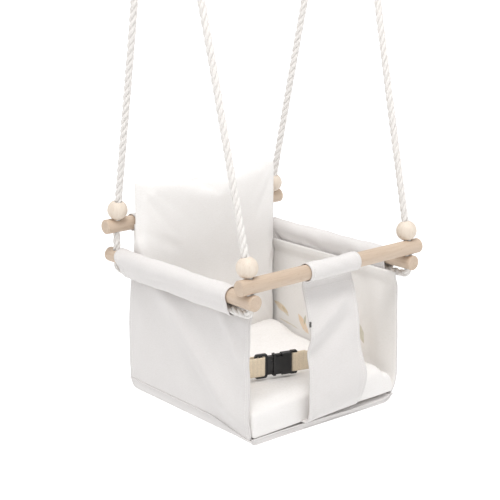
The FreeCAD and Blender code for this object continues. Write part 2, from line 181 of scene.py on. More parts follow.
def sheet_parts(points, thickness, outward=None, wrap=False, inner_material=0):
    """Points, faces and material numbers of a sheet with thickness whose outer face is a grid of points.

    outward is a direction on the outer side; without it, that side is away from the grid's middle.
    """
    normals = grid_normals(points, wrap)
    away = points - points.mean(axis=(0, 1)) if outward is None else np.asarray(outward, float)
    if (normals * away).sum(axis=-1).mean() < 0:
        normals = -normals
    rows, columns = points.shape[:2]
    count = rows * columns
    inner = points - normals * thickness
    outer_faces = grid_faces(rows, columns, 0, wrap)
    faces = outer_faces + grid_faces(rows, columns, count, wrap)
    rims = [list(range(columns)), [(rows - 1) * columns + j for j in range(columns)]]
    if wrap:
        rims = [rim + rim[:1] for rim in rims]
    else:
        rims += [[i * columns for i in range(rows)], [i * columns + columns - 1 for i in range(rows)]]
    numbers = [0] * len(outer_faces) + [inner_material] * len(outer_faces)
    for rim in rims:
        faces += [(b, a, count + a, count + b) for a, b in zip(rim, rim[1:])]
    numbers += [0] * (len(faces) - len(numbers))
    return np.concatenate([points.reshape(-1, 3), inner.reshape(-1, 3)]), faces, numbers


def cloth(name, materials, *parts):
    """One piece sewn from several sheets, each made by sheet_parts."""
    points, faces, numbers = [], [], []
    count = 0
    for part_points, part_faces, part_numbers in parts:
        points.append(part_points)
        faces += [tuple(count + i for i in face) for face in part_faces]
        numbers += part_numbers
        count += len(part_points)
    piece = new_object(name, np.concatenate(points), faces, materials[0])
    for material in materials[1:]:
        piece.data.materials.append(material)
    piece.data.polygons.foreach_set("material_index", numbers)
    return piece


def frames_along(line):
    """Two directions across each point of a line, turning as little as they can."""
    tangent = unit(np.gradient(line, axis=0))
    first = np.cross(tangent[0], [0.3, 0.5, 0.8])
    side = [unit(first)]
    for t in tangent[1:]:
        carried = side[-1] - t * (side[-1] @ t)
        side.append(unit(carried))
    side = np.array(side)
    return side, np.cross(tangent, side)


def tube_parts(line, radius, sides, start=0):
    """Points and faces of a tube along a line; radius is one value or one for each point."""
    side, up = frames_along(line)
    turn = np.arange(sides) * 2 * math.pi / sides
    radius = np.broadcast_to(np.asarray(radius, float), (len(line),))[:, None, None]
    ring = side[:, None] * np.cos(turn)[:, None] + up[:, None] * np.sin(turn)[:, None]
    points = (line[:, None] + ring * radius).reshape(-1, 3)
    faces = grid_faces(len(line), sides, start, True)
    last = start + (len(line) - 1) * sides
    faces.append(tuple(start + j for j in range(sides))[::-1])
    faces.append(tuple(last + j for j in range(sides)))
    return points, [f[::-1] for f in faces]


def tubes(name, lines, radius, sides, material):
    """One piece made of a tube along each line."""
    points, faces = [], []
    count = 0
    for line in lines:
        p, f = tube_parts(np.asarray(line, float), radius, sides, count)
        points.append(p)
        faces += f
        count += len(p)
    return new_object(name, np.concatenate(points), faces, material)


def resampled(line, step):
    """The line again, with points an even step apart."""
    line = np.asarray(line, float)
    along = distance_along(line)
    at = np.linspace(0, along[-1], max(2, round(along[-1] / step) + 1))
    return np.stack([np.interp(at, along, line[:, k]) for k in range(3)], axis=1)


def stitches(name, lines, material, long=3.4, pitch=4.6, radius=0.42):
    """Rows of sewing thread: short stitches that dip into the cloth at both ends."""
    pieces = []
    for line in lines:
        points = resampled(line, pitch)
        for a, b in zip(points, points[1:]):
            run = (b - a) * (long / pitch)
            pieces.append(np.array([a, a + run * 0.25, a + run * 0.75, a + run]))
    parts, faces = [], []
    for i, piece in enumerate(pieces):
        p, f = tube_parts(piece, np.array([0.35, 1, 1, 0.35]) * radius, 5, i * 20)
        parts.append(p)
        faces += f
    return new_object(name, np.concatenate(parts), faces, material)


def finished(piece, body, slot, *nodes):
    """Say which body a piece rides on and the CAD nodes that it stands for; slot is not used."""
    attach(piece, body)
    if nodes:
        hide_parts(*nodes)
    return piece


# ---- materials -------------------------------------------------------------------------------
class Nodes:
    """Short names for building one material's nodes, on a new material or one that is given."""

    def __init__(self, name, material=None):
        self.material = material or bpy.data.materials.new(name)
        self.material.use_nodes = True
        self.tree = self.material.node_tree
        self.shader = self.tree.nodes["Principled BSDF"]

    def feed(self, socket, value):
        """Link an output to a socket, or set the socket to a plain value."""
        if hasattr(value, "is_output"):
            self.tree.links.new(value, socket)
        else:
            socket.default_value = value

    def add(self, kind, **inputs):
        node = self.tree.nodes.new("ShaderNode" + kind)
        for key, value in inputs.items():
            self.feed(node.inputs[key.replace("_", " ")], value)
        return node

    def math(self, operation, *values):
        node = self.tree.nodes.new("ShaderNodeMath")
        node.operation = operation
        for socket, value in zip(node.inputs, values):
            self.feed(socket, value)
        return node.outputs[0]

    def mix(self, factor, first, second):
        node = self.tree.nodes.new("ShaderNodeMix")
        node.data_type = "RGBA"
        for number, value in ((0, factor), (6, first), (7, second)):   # its colour sockets
            self.feed(node.inputs[number], value)
        return node.outputs[2]

    def darkened(self, colour, by, factor):
        """A colour multiplied by another."""
        node = self.add("MixRGB", Color1=colour, Color2=by, Fac=factor)
        node.blend_type = "MULTIPLY"
        return node.outputs["Color"]

    def place(self, scale=(1, 1, 1)):
        """Coordinates in metres, stretched by scale."""
        coordinates = self.tree.nodes.new("ShaderNodeTexCoord").outputs["Object"]
        mapping = self.add("Mapping", Vector=coordinates)
        mapping.inputs["Scale"].default_value = scale
        return mapping.outputs["Vector"]

    def noise(self, place, scale, detail=3.0, roughness=0.5):
        node = self.add("TexNoise", Vector=place, Scale=scale, Detail=detail, Roughness=roughness)
        return node.outputs["Fac"]

    def bands(self, place, pitch, direction):
        """A wave along one axis that repeats every pitch metres."""
        node = self.add("TexWave", Vector=place, Scale=2 * math.pi / (20 * pitch))
        node.bands_direction = direction
        return node.outputs["Fac"]

    def ramp(self, factor, stops):
        node = self.tree.nodes.new("ShaderNodeValToRGB")
        self.tree.links.new(factor, node.inputs["Fac"])
        elements = node.color_ramp.elements
        while len(elements) < len(stops):
            elements.new(0.5)
        for element, (position, colour) in zip(elements, stops):
            element.position = position
            element.color = (*colour, 1)
        return node.outputs["Color"]

    def finish(self, colour, roughness, height=None, depth=0.0003, strength=0.5, **inputs):
        """Link colour, roughness and a bump of that depth in metres to the shader."""
        values = {"Base Color": colour, "Roughness": roughness, **inputs}
        for key, value in values.items():
            self.feed(self.shader.inputs[key], value)
        if height is not None:
            bump = self.add("Bump", Height=height, Strength=strength, Distance=depth)
            self.tree.links.new(bump.outputs["Normal"], self.shader.inputs["Normal"])
        return self.material


def shade(colour, factor):
    return tuple(c * factor for c in colour)


def canvas_material(name, colour, thread=0.0009, depth=0.00012, sheen=0.25):
    """Plain-woven cotton canvas: fine threads both ways, slubs and faint clouding."""
    n = Nodes(name)
    place = n.place()
    weave = n.math("MULTIPLY", n.bands(place, thread, "X"), n.bands(place, thread, "Z"))
    weave = n.math("ADD", weave, n.bands(place, thread, "Y"))
    slub = n.noise(n.place((1, 1, 7)), 260, 2)
    cloud = n.noise(place, 16, 3)
    height = n.math("ADD", n.math("MULTIPLY", weave, 0.5), n.math("MULTIPLY", slub, 0.6))
    base = n.ramp(cloud, [(0.3, shade(colour, 0.965)), (0.7, colour)])
    threads = n.ramp(slub, [(0.35, (0.955, 0.95, 0.94)), (0.6, (1, 1, 1))])
    return n.finish(n.darkened(base, threads, 1.0), 0.88, height, depth, 0.16,
                    **{"Sheen Weight": sheen, "Sheen Roughness": 0.5})


def printed_canvas(name, colour, leaves):
    """Canvas with soft watercolour leaves, each (y, z, length, width, turn, tint) in seat mm."""
    n = Nodes(name, canvas_material(name, colour))
    shown = n.shader.inputs["Base Color"].links[0].from_socket
    wash = n.noise(n.place(), 70, 4, 0.65)
    wander = n.math("MULTIPLY", n.math("SUBTRACT", n.noise(n.place(), 45, 2), 0.5), 0.006)
    split = n.add("SeparateXYZ", Vector=n.place())
    for y, z, length, width, turn, tint in leaves:
        _, centre_y, centre_z = metres([0, y, z])
        dy = n.math("SUBTRACT", split.outputs["Y"], float(centre_y))
        dz = n.math("SUBTRACT", split.outputs["Z"], float(centre_z))
        c, s = math.cos(math.radians(turn)), math.sin(math.radians(turn))
        along = n.math("ADD", n.math("MULTIPLY", dy, c), n.math("MULTIPLY", dz, s))
        across = n.math("SUBTRACT", n.math("MULTIPLY", dz, c), n.math("MULTIPLY", dy, s))
        reach = n.math("DIVIDE", along, length * MM / 2)
        outline = n.math("SUBTRACT", 1.0, n.math("MULTIPLY", reach, reach))
        half = n.math("MULTIPLY", n.math("MAXIMUM", outline, 0.0), width * MM / 2)
        inside = n.math("SUBTRACT", n.math("ADD", half, wander), n.math("ABSOLUTE", across))
        edge = n.math("MULTIPLY", n.math("MULTIPLY", inside, 700.0), n.math("GREATER_THAN", outline, 0.0))
        mask = n.math("MINIMUM", n.math("MAXIMUM", edge, 0.0), 1.0)
        strength = n.math("MULTIPLY", mask, n.math("ADD", n.math("MULTIPLY", wash, 0.9), 0.08))
        vein = n.math("LESS_THAN", n.math("ABSOLUTE", across), 0.0004)
        tinted = n.mix(vein, (*tint, 1), (*shade(tint, 0.72), 1))
        shown = n.mix(n.math("MINIMUM", strength, 0.8), shown, tinted)
    n.tree.links.new(shown, n.shader.inputs["Base Color"])
    return n.material


def wood_material(name, light, dark, grain, marks=1.0):
    """Sanded beech: long grain along one axis, short darker flecks, faint pores."""
    n = Nodes(name)
    stretch = [1.0 if axis != grain else 0.05 for axis in "XYZ"]
    place = n.place(stretch)
    figure = n.noise(place, 70, 4, 0.6)
    lines = n.noise(place, 420, 3, 0.6)
    flecks = n.noise(n.place([1.0 if axis != grain else 0.22 for axis in "XYZ"]), 620, 1)
    base = n.ramp(figure, [(0.3, dark), (0.68, light)])
    fine = n.ramp(lines, [(0.3, (0.9, 0.87, 0.84)), (0.55, (1, 1, 1))])
    fleck = n.ramp(flecks, [(0.66, (1, 1, 1)), (0.74, (0.8, 0.7, 0.6))])
    colour = n.darkened(n.darkened(base, fine, 0.75 * marks), fleck, 0.55 * marks)
    roughness = n.math("ADD", n.math("MULTIPLY", lines, 0.15), 0.42)
    return n.finish(colour, roughness, lines, 0.00015, 0.3)


def rope_material(name, colour):
    """Soft cotton yarn: fine fibres along the strands, with painted shade darkening the valleys of the
    yarn.
    """
    n = Nodes(name)
    place = n.place()
    fibre = n.noise(place, 900, 3, 0.6)
    yarn = n.noise(n.place((1, 1, 0.35)), 420, 2)
    # painted shade: darker where the yarn bump is low, in its valleys
    base = n.ramp(yarn, [(0.3, shade(colour, 0.86)), (0.65, colour)])
    height = n.math("ADD", fibre, yarn)
    return n.finish(base, 0.93, height, 0.0004, 0.5, **{"Sheen Weight": 0.35, "Sheen Roughness": 0.6})


def webbing_material(name, colour):
    """Ribbed cotton webbing: fine ribs along the belt crossed by the filling thread, with painted shade
    between the ribs.
    """
    n = Nodes(name)
    place = n.place()
    rib = n.bands(place, 0.0017, "Z")
    pick = n.math("MULTIPLY", n.bands(place, 0.0024, "X"), n.bands(place, 0.0024, "Y"))
    height = n.math("ADD", rib, n.math("MULTIPLY", pick, 0.5))
    # painted shade and highlight: lighter on the raised ribs, darker between them, mixed with random tone
    # from the noise
    tone = n.math("ADD", n.math("MULTIPLY", height, 0.35), n.math("MULTIPLY", n.noise(place, 500, 2), 0.6))
    base = n.ramp(tone, [(0.2, shade(colour, 0.72)), (0.75, shade(colour, 1.06))])
    return n.finish(base, 0.85, height, 0.0003, 0.6, **{"Sheen Weight": 0.2})


def plastic_material(name, colour):
    """Moulded nylon with a fine spark-eroded texture."""
    n = Nodes(name)
    place = n.place()
    texture = n.noise(place, 2400, 2)
    wear = n.noise(place, 90, 4, 0.6)
    roughness = n.math("ADD", n.math("MULTIPLY", wear, 0.25), 0.28)
    base = n.ramp(wear, [(0.3, colour), (0.8, shade(colour, 1.8))])
    return n.finish(base, roughness, texture, 0.00006, 0.35)


def steel_material(name):
    """Brushed stainless wire."""
    n = Nodes(name)
    scratches = n.noise(n.place((1, 1, 0.08)), 1500, 3)
    base = n.ramp(scratches, [(0.3, (0.45, 0.45, 0.44)), (0.7, (0.66, 0.66, 0.64))])
    roughness = n.math("ADD", n.math("MULTIPLY", scratches, 0.25), 0.2)
    return n.finish(base, roughness, scratches, 0.00004, 0.3, Metallic=1.0)


def plywood_material(name):
    n = Nodes(name)
    figure = n.noise(n.place((0.12, 1, 1)), 90, 4)
    ply = n.bands(n.place(), 0.0012, "Z")
    base = n.ramp(n.math("ADD", n.math("MULTIPLY", figure, 0.8), n.math("MULTIPLY", ply, 0.2)),
                  [(0.25, (0.36, 0.24, 0.13)), (0.75, (0.62, 0.47, 0.3))])
    return n.finish(base, 0.7, figure, 0.0001, 0.2)


CANVAS = canvas_material("canvas", (0.765, 0.74, 0.73))
CUSHION_CANVAS = canvas_material("cushion_canvas", (0.90, 0.88, 0.865), 0.0008)
LINING = printed_canvas("printed_lining", (0.92, 0.90, 0.88), [
    (136, 94, 46, 15, 22, (0.80, 0.60, 0.32)),
    (124, 88, 28, 9, 42, (0.62, 0.50, 0.28)),
    (71, 74, 48, 17, 45, (0.84, 0.56, 0.26)),
    (66, 84, 24, 8, 100, (0.42, 0.40, 0.25)),
    (120, 66, 84, 4, 10, (0.76, 0.66, 0.46)),
    (20, 92, 50, 17, 60, (0.80, 0.60, 0.30)),
    (-30, 84, 46, 15, 110, (0.78, 0.54, 0.28)),
    (-80, 96, 50, 16, 65, (0.52, 0.48, 0.30)),
])
THREAD = canvas_material("sewing_thread", (0.86, 0.845, 0.83), 0.0004)
ROPE = rope_material("cotton_rope", (0.84, 0.81, 0.78))
TWINE = rope_material("twine", (0.70, 0.66, 0.58))
BEECH = ((0.64, 0.515, 0.405), (0.57, 0.445, 0.34))
BEECH_X = wood_material("beech_along_x", *BEECH, "X")
BEECH_Y = wood_material("beech_along_y", *BEECH, "Y")
BEAD_WOOD = wood_material("bead_beech", (0.80, 0.71, 0.61), (0.75, 0.65, 0.55), "Z", 0.7)
WEBBING = webbing_material("webbing", (0.88, 0.745, 0.56))
PLASTIC = plastic_material("black_nylon", (0.012, 0.012, 0.013))
STEEL = steel_material("brushed_steel")
PLYWOOD = plywood_material("plywood")
TAG = canvas_material("tag_cloth", (0.09, 0.085, 0.08), 0.0006)


# ---- camera, light and floor -------------------------------------------------------------------
CAMERA_TURN = math.radians(40.66)      # to the right of straight back
CAMERA_TILT = math.radians(14.93)
CAMERA_PLACE = (-1371.6, -1566.1, 823.2)
LENS, SENSOR = 87.03, 36.0
KEY_LIGHT_PLACE = (-0.75, -0.9, 1.9)   # in the frame's metres
KEY_LIGHT_TARGET = (0, 0, 150)         # in seat millimetres
FLOOR_HEIGHT, FLOOR_SIZE = -1500.0, 60000.0
FLOOR_GLOW = 0.3
WHITE_FLOOR_FROM = 1.7                 # metres from the swing, where the backdrop sweep is fully white
SKY_STRENGTH = 1.7
# brightness from the horizon to overhead: a white backdrop, a dim stretch of wall, a bright ceiling
SKY = ((0.0, 0.65), (0.15, 0.65), (0.25, 0.08), (0.5, 0.3), (1.0, 0.95))


def add_camera():
    camera = bpy.data.cameras.new("camera")
    camera.lens, camera.sensor_width = LENS, SENSOR
    camera.clip_end = 200
    holder = bpy.data.objects.new("camera", camera)
    bpy.context.scene.collection.objects.link(holder)
    holder.location = metres(CAMERA_PLACE)
    level = math.cos(CAMERA_TILT)
    forward = Vector((math.sin(CAMERA_TURN) * level, math.cos(CAMERA_TURN) * level, -math.sin(CAMERA_TILT)))
    holder.rotation_euler = forward.to_track_quat("-Z", "Y").to_euler()
    bpy.context.scene.camera = holder


def add_area_light(name, place, towards, size, power, colour=(1, 1, 1)):
    light = bpy.data.lights.new(name, "AREA")
    light.shape, light.size, light.energy, light.color = "DISK", size, power, colour
    holder = bpy.data.objects.new(name, light)
    bpy.context.scene.collection.objects.link(holder)
    holder.location = place
    holder.rotation_euler = (Vector(towards) - Vector(place)).to_track_quat("-Z", "Y").to_euler()


def add_sky():
    """A world whose brightness follows the SKY curve, by height above the horizon."""
    world = bpy.data.worlds.new("studio")
    world.use_nodes = True
    tree = world.node_tree
    direction = tree.nodes.new("ShaderNodeTexCoord").outputs["Generated"]
    height = tree.nodes.new("ShaderNodeSeparateXYZ")
    tree.links.new(direction, height.inputs["Vector"])
    brightness = tree.nodes.new("ShaderNodeFloatCurve")
    curve = brightness.mapping.curves[0]
    curve.points[0].location, curve.points[1].location = SKY[0], SKY[-1]
    for place in SKY[1:-1]:
        curve.points.new(*place)
    brightness.mapping.update()
    tree.links.new(height.outputs["Z"], brightness.inputs["Value"])
    strength = tree.nodes.new("ShaderNodeMath")
    strength.operation = "MULTIPLY"
    strength.inputs[1].default_value = SKY_STRENGTH
    tree.links.new(brightness.outputs["Value"], strength.inputs[0])
    background = tree.nodes["Background"]
    background.inputs["Color"].default_value = (1, 1, 1, 1)
    tree.links.new(strength.outputs["Value"], background.inputs["Strength"])
    bpy.context.scene.world = world
    bpy.context.scene.view_settings.view_transform = "Standard"


def add_floor():
    """A floor that glows a little, with painted shade: grey under the swing, turning to white away from it.
    """
    paint = Nodes("floor_paint")
    far = paint.add("VectorMath", Vector=paint.place((1, 1, 0)))
    far.operation = "LENGTH"
    reach = paint.math("DIVIDE", far.outputs["Value"], WHITE_FLOOR_FROM)
    # painted shade under the swing: grey near it, white from WHITE_FLOOR_FROM out
    floor_colour = paint.ramp(reach, [(0.3, (0.5, 0.5, 0.5)), (1.0, (0.98, 0.98, 0.98))])
    paint.finish(floor_colour, 0.9, **{"Emission Color": (1, 1, 1, 1), "Emission Strength": FLOOR_GLOW})
    signs = ((-1, -1), (1, -1), (1, 1), (-1, 1))
    corners = [(x * FLOOR_SIZE, y * FLOOR_SIZE, FLOOR_HEIGHT) for x, y in signs]
    new_object("floor", corners, [(0, 1, 2, 3)], paint.material)


# ---- ropes -----------------------------------------------------------------------------------
STRAND_OFFSET, STRAND_RADIUS = 3.35, 3.25
ROPE_LAY = 45.0                        # length of one turn of the strands

# The left rope: front tail and eye, down through both dowels, back along, and up to the rear eye.
ROPE_ROUTE = (
    (-180.3, -78.1, 726.7), (-181.1, -68.9, 765.6), (-171.1, -53.7, 830.1), (-207.5, -53.9, 829.3),
    (-194.6, -69.0, 765.3), (-185.7, -165.6, 356.0), (-184.0, -184.0, 278.2), (-184.0, -184.0, 252.5),
    (-184.0, -184.0, 228.5), (-184.0, -160.0, 228.5), (-184.0, 160.0, 228.5), (-184.0, 184.0, 228.5),
    (-184.0, 184.0, 252.5), (-184.0, 184.0, 309.0), (-185.8, 167.0, 387.2), (-194.3, 84.8, 765.1),
    (-207.2, 70.8, 829.3), (-170.8, 70.6, 830.1), (-180.8, 84.7, 765.3), (-179.9, 93.2, 726.3),
)


def spline_points(route):
    """Points along the smooth curve that has the route for its control points, in mm."""
    curve = bpy.data.curves.new("route", "CURVE")
    curve.dimensions = "3D"
    curve.resolution_u = 24
    spline = curve.splines.new("NURBS")
    spline.points.add(len(route) - 1)
    for point, place in zip(spline.points, metres(route)):
        point.co = (*place, 1)
    spline.order_u = 3
    spline.use_endpoint_u = True
    holder = bpy.data.objects.new("route", curve)
    mesh = bpy.data.meshes.new_from_object(holder)
    points = np.array([seat_mm(v.co) for v in mesh.vertices])
    bpy.data.objects.remove(holder)
    bpy.data.curves.remove(curve)
    bpy.data.meshes.remove(mesh)
    return points


def strand_lines(centre):
    """The three strands laid round a rope's centre line."""
    side, up = frames_along(centre)
    along = distance_along(centre)
    lines = []
    for k in range(3):
        turn = (2 * math.pi * (along / ROPE_LAY + k / 3))[:, None]
        lines.append(centre + (side * np.cos(turn) + up * np.sin(turn)) * STRAND_OFFSET)
    return lines


def with_its_leg(piece):
    """Bake the placing of a rope or its binding, which hangs between the swinging seat and the fixed rings,
    into its mesh.
    """
    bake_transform(piece)


WHIPPING_TURNS, WHIPPING_LENGTH, TWINE_RADIUS = 13, 21.0, 0.85
TAIL_SPACING = 13.5                    # from a standing rope to its tail


def whipping(name, node):
    """Twine wound round a rope and its tail."""
    low, high = box_mm(node)
    middle = (low + high) / 2
    side = math.copysign(1, middle[0])
    foot_y, foot_z = (HALF, REAR_DOWEL_HEIGHT) if middle[1] > 0 else (-HALF, FRONT_DOWEL_HEIGHT)
    up = unit(np.array(PULL_POINT) * [side, 1, 1] - [side * HALF, foot_y, foot_z])
    inward = unit(np.array([-side, 0, 0]) + up * up[0] * side)
    third = np.cross(up, inward)
    radius = ROPE_DIAMETER / 2 + TWINE_RADIUS * 0.6
    points = []
    for t in np.linspace(0, WHIPPING_TURNS, WHIPPING_TURNS * 28):
        angle = 2 * math.pi * t
        shift = TAIL_SPACING / 2 * math.copysign(min(1, abs(math.cos(angle)) * 2.2), math.cos(angle))
        around = inward * (shift + radius * math.cos(angle)) + third * radius * math.sin(angle)
        points.append(middle + around + up * (t / WHIPPING_TURNS - 0.5) * WHIPPING_LENGTH)
    piece = tubes(name, [points], TWINE_RADIUS, 6, TWINE)
    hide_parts(node)
    with_its_leg(piece)
    return piece


def add_rope(side_name):
    side = SIDES[side_name]
    route = np.array(ROPE_ROUTE) * [-side, 1, 1]
    centre = resampled(spline_points(route), 2.2)
    piece = tubes("rope_strands_" + side_name, strand_lines(centre), STRAND_RADIUS, 9, ROPE)
    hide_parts("rope_" + side_name)
    with_its_leg(piece)
    bindings = [
        whipping(f"twine_{side_name}_{end}", f"whipping_{side_name}_{end}") for end in ENDS
    ]
    line = metres(centre)
    long = float(np.linalg.norm(np.diff(line, axis=0), axis=1).sum())
    print("rope", side_name, "is", round(long, 3), "m")


# ---- turned and metal parts --------------------------------------------------------------------
def finish_hard_parts():
    looks = {"dowel_front": BEECH_X, "dowel_rear": BEECH_X, "dowel_left": BEECH_Y, "dowel_right": BEECH_Y,
             "base_board": PLYWOOD, "buckle_plug": PLASTIC, "buckle_socket": PLASTIC,
             "prong_upper": PLASTIC, "prong_lower": PLASTIC}
    for side in SIDES:
        for end in ENDS:
            looks[f"bead_{side}_{end}"] = BEAD_WOOD
            looks[f"ring_{side}_{end}"] = STEEL
    for node, material in looks.items():
        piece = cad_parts[node]
        piece.data.materials.clear()
        piece.data.materials.append(material)


# ---- canvas box ------------------------------------------------------------------------------
BOX_LOW, BOX_HIGH = box_mm("base_cover")
OUT = BOX_HIGH[0]                      # outer faces of the side walls
FRONT, REAR = BOX_LOW[1], BOX_HIGH[1]
WALL_FRONT = box_mm("panel_left")[0][1]
ROUNDED_EDGES = ((1, 1, 28.0), (0, 1, 30.0), (0, -1, 8.0))   # axis, side and radius: rear, right, left
SIDE_SLEEVE_FRONT = box_mm("sleeve_left")[0][1]


def tuck(points):
    """Round the canvas box's lower edges, and let its front corner hang a little."""
    p = np.array(points, float)
    for axis, side, radius in ROUNDED_EDGES:
        limit = REAR if axis == 1 else OUT
        a = side * p[..., axis] - (limit - radius)
        b = radius - p[..., 2]
        factor = np.where((a > 0) & (b > 0), np.maximum(a, b) / np.maximum(np.hypot(a, b), 1e-6), 1.0)
        p[..., axis] = side * (limit - radius + a * factor)
        p[..., 2] = radius - b * factor
    hang = (1 + 6.5 * smooth_step(p[..., 0], -OUT, OUT)) * smooth_step(-p[..., 1], 125, -FRONT)
    p[..., 2] -= hang * (1 - smooth_step(p[..., 2], 12, 50))
    return p


def seam_height(y):
    """Where a wall is sewn to the boxing band, which narrows towards the front."""
    return 20.6 - 13.8 * smooth_step(-y, 60, 172)


def wall_rear(z):
    """The rear edge of the side walls, which leans forward above."""
    return REAR - WALL - 10 * smooth_step(z, 110, 225)


def ripple(a, b, seed):
    """Faint unevenness of hand-sewn cloth, about half a millimetre."""
    return 0.35 * np.sin(a / 37 + seed) * np.sin(b / 29 + 2 * seed) + 0.2 * np.sin(a / 13 + b / 17 + seed)


# (height, start, end, width) of each wall's folds, in its own y and z
WALL_FOLDS = {
    "left": ((13.0, (62, 222), (-142, 36), 27), (7.0, (-98, 226), (-156, 130), 15),
             (3.0, (135, 200), (120, 60), 20)),
    "right": ((-2.0, (-118, 225), (-128, 40), 15), (2.2, (-80, 222), (-100, 60), 20),
              (1.8, (40, 210), (110, 40), 24), (-1.6, (110, 205), (20, 60), 22)),
}
WALL_BULGE = {"left": 0.0, "right": 5.5}      # how far its lower front part swells
WALL_TOP = 233.0
CORNER_RADIUS = {"left": 2.0, "right": 5.0}   # lower front corners of the walls
WALL_HEM = 8.0                         # from a wall's edge to its row of stitches
WALL_FULLNESS = 2.4                    # how far the walls stand out between their seams


def wall_face(side_name, u, v):
    """Outer face of a side wall: u from front to rear and v from the band up to the sleeve."""
    side = SIDES[side_name]
    y = WALL_FRONT + (REAR - WALL - WALL_FRONT) * u
    low = seam_height(y)
    z = low + (WALL_TOP - low) * v
    rounding = CORNER_RADIUS[side_name]
    below = np.clip((low + rounding - z) / rounding, 0, 1)
    front = WALL_FRONT + rounding * (1 - np.sqrt(1 - below**2))
    y = front + (wall_rear(z) - front) * u
    free = smooth_step(z - low, 0, 35) * (1 - 0.8 * smooth_step(z, 195, WALL_TOP))
    hem = 0.5 * (1 - smooth_step(y, WALL_FRONT + 9, WALL_FRONT + 12))
    bulge = WALL_BULGE[side_name] * smooth_step(-y, 20, 160) * bump_at(z, 55, 90)
    swell = bulge + folds(y, z, WALL_FOLDS[side_name]) + ripple(y, z, side) + WALL_FULLNESS
    x = OUT + np.maximum(swell, -0.2) * free + hem - 4 * smooth_step(z, 206, 224)
    return tuck(joined(side * x, y, z))


def add_side_wall(side_name):
    side = SIDES[side_name]
    v, u = shares(64, 92)
    points = wall_face(side_name, u, v)
    piece = cloth("wall_" + side_name, [CANVAS, LINING],
                  sheet_parts(points, WALL, (side, 0, 0), inner_material=1))
    finished(piece, "seat", "canvas", "panel_" + side_name)
    hem = WALL_HEM / (REAR - WALL - WALL_FRONT)
    t = np.linspace(0.01, 0.9, 60)
    front, rear = (wall_face(side_name, np.full_like(t, share), t) for share in (hem, 1 - hem))
    s = np.linspace(0.01, 0.985, 90)
    seam = wall_face(side_name, s, np.full_like(s, 0.018))
    proud = np.array([side * THREAD_PROUD, 0, 0])
    inside = np.array([side * (WALL + THREAD_PROUD), 0, 0])
    rows = [front + proud, front - inside, rear + proud, seam + proud]
    finished(stitches("wall_stitches_" + side_name, rows, THREAD), "seat", "canvas")


BACK_FOLDS = ((1.6, (-120, 250), (-40, 60), 30), (1.4, (60, 240), (120, 70), 26))


def back_half_width(z):
    return OUT - 16 * smooth_step(z, 215, 275)


def back_face(u, v):
    """Outer face of the back wall: u from left to right and v upward."""
    low = seam_height(REAR)
    z = low + (box_mm("panel_rear")[1][2] - low) * v
    x = back_half_width(z) * u
    lean = 10 * smooth_step(z, 110, 225) * smooth_step(np.abs(x), 120, OUT)
    lean = lean * (1 - smooth_step(z, 226, 268))
    free = smooth_step(z, 22, 60) * (1 - smooth_step(z, 260, 300))
    sag = folds(x, z, BACK_FOLDS) + ripple(x, z, 3.0)
    return tuck(joined(x, REAR - lean + sag * free - 0.4, z))


def add_back_wall():
    v, u = shares(70, 84, -1)
    piece = cloth("wall_back", [CANVAS, LINING],
                  sheet_parts(back_face(u, v), WALL, (0, 1, 0), inner_material=1))
    finished(piece, "seat", "canvas", "panel_rear")
    t = np.linspace(0.01, 0.93, 60)
    s = np.linspace(-0.97, 0.97, 90)
    rows = [back_face(np.full_like(t, side * 0.955), t) for side in (-1, 1)]
    rows += [back_face(s, np.full_like(s, height)) for height in (0.02, 0.9)]
    rows = [row + [0, THREAD_PROUD, 0] for row in rows]
    finished(stitches("wall_stitches_back", rows, THREAD), "seat", "canvas")


def band_line():
    """The boxing band's way round the box in plan, from the front left corner to the front right."""
    left = [(-OUT, y) for y in np.linspace(FRONT, REAR, 70)]
    back = [(x, REAR) for x in np.linspace(-OUT, OUT, 60)[1:-1]]
    right = [(OUT, y) for y in np.linspace(REAR, FRONT, 70)]
    return np.array(left + back + right)


FRONT_BAND_END = 0.94                  # share of the half width where the front band stops, on the right


def front_band_height(u):
    """Top of the front band, which falls a little towards the right."""
    return 10 - 2.5 * smooth_step(u, -1, 1)


def add_base():
    plan = band_line()
    top = seam_height(plan[:, 1])
    drop = np.linspace(1, 0, 9)[:, None]
    band = joined(plan[:, 0], plan[:, 1], drop * top)
    v, u = shares(60, 60, -1)
    bottom = joined(OUT * u, FRONT + (REAR - FRONT) * v, 0.0)
    v, u = shares(7, 80, -1, FRONT_BAND_END)
    front = joined(OUT * u, FRONT + 0.3 * np.sin(u * 9), front_band_height(u) * v)
    lip = joined(OUT * u * 0.985, FRONT + (WALL_FRONT - FRONT + 60) * v, 10.4 - 2.5 * (1 - v))
    piece = cloth("base_cloth", [CANVAS],
                  sheet_parts(tuck(band), 2.0),
                  sheet_parts(tuck(bottom), 1.6, (0, 0, -1)),
                  sheet_parts(tuck(front), 1.6, (0, -1, 0)),
                  sheet_parts(tuck(lip), 1.6, (0, 0, 1)))
    finished(piece, "seat", "canvas", "base_cover")
    outward = joined(np.where(np.abs(plan[:, 0]) >= OUT, np.sign(plan[:, 0]), 0),
                     (plan[:, 1] >= REAR) * 1.0, 0.0)
    seam = tuck(np.column_stack([plan, top])) + unit(outward) * 0.5
    edge_x = np.linspace(-OUT, FRONT_BAND_END * OUT, 80)
    low_edge = tuck(joined(edge_x, FRONT, 0.6)) + [0, -0.3, 0]
    front_edge = tuck(joined(edge_x, FRONT, front_band_height(edge_x / OUT)))
    welt = tubes("seam_welts", [seam, low_edge, front_edge + [0, -0.4, 0]], 1.15, 7, CANVAS)
    finished(welt, "seat", "canvas")


# ---- sleeves ---------------------------------------------------------------------------------
SIDE_DOWEL_HEIGHT = (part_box("dowel_left")[0].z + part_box("dowel_left")[1].z - 2 * UNDERSIDE) / 2 / MM


